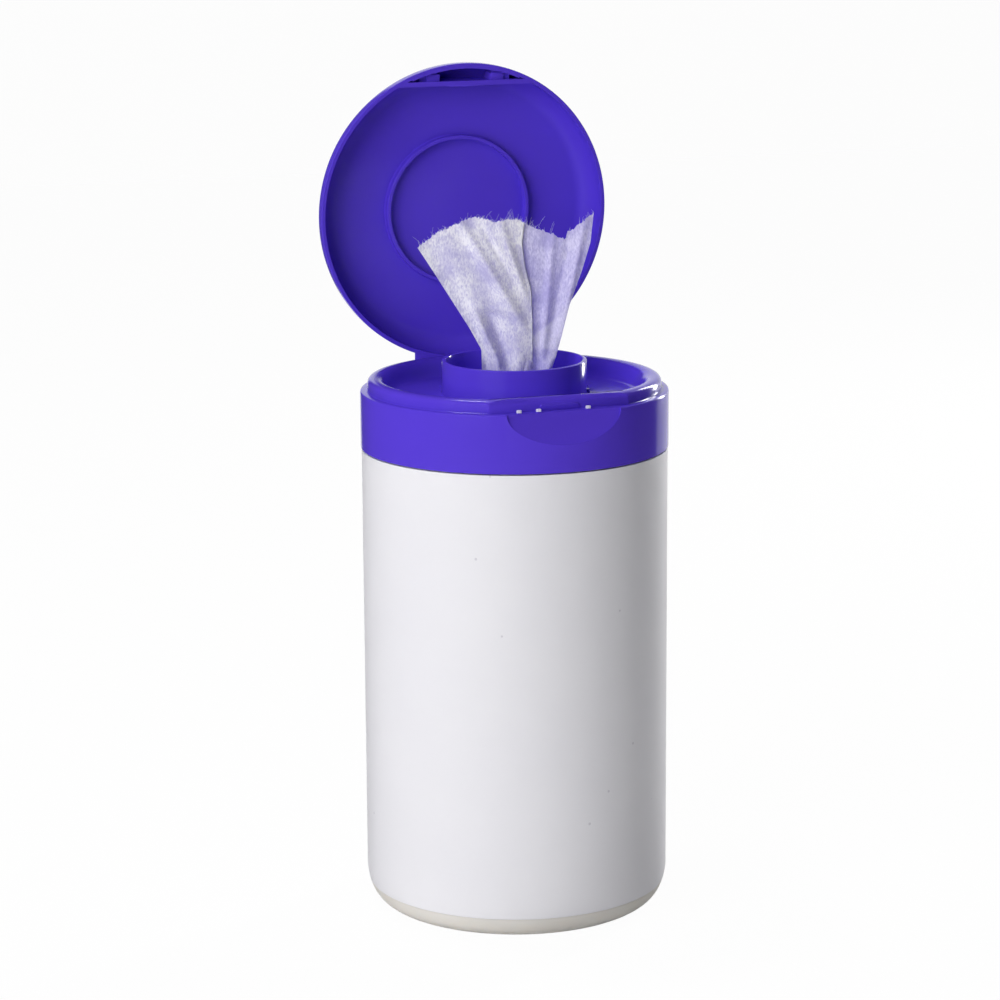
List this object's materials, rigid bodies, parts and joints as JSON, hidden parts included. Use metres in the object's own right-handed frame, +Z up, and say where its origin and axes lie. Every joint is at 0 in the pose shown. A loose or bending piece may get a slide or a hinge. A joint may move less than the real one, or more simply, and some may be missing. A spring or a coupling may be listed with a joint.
{
  "type": "wipes canister",
  "caption": "Round wipes canister with a flip-top closure, open lid, sealing collar and a pulled wipe fanning out of the orifice.",
  "frame": {"origin": "middle of the canister's flat base, on the surface it stands on", "axes": "+Z up along the canister's axis; -Y towards the thumb pocket and the lid's front lip; the lid's hinge runs along X at +Y"},
  "size_m": [0.11, 0.1219, 0.3002],
  "materials": {
    "natural_hdpe": "blow-moulded natural polyethylene, satin, slightly translucent",
    "white_label_film": "white film label, satin, with faint waves and a few specks",
    "violet_polypropylene": "injection-moulded violet-blue polypropylene, glossy",
    "nonwoven": "white nonwoven wipe with visible fibres"
  },
  "bodies": {
    "canister": {"canister": "natural_hdpe", "label_sleeve": "white_label_film", "wipes_roll": "nonwoven"},
    "closure": {"closure": "violet_polypropylene", "hinge_strap": "violet_polypropylene", "pulled_wipe": "nonwoven"},
    "lid": {"lid": "violet_polypropylene"}
  },
  "joints": [
    {"name": "closure_turn", "type": "hinge", "parent": "canister", "child": "closure", "pos_m": [0, 0, 0.1765], "axis": [0, 0, 1], "continuous": true},
    {"name": "lid_hinge", "type": "hinge", "parent": "closure", "child": "lid", "pos_m": [0, 0.056, 0.1892], "axis": [-1, 0, 0], "range_deg": [-87.2, 17.8], "deforming": ["pulled_wipe", "hinge_strap"]}
  ]
}
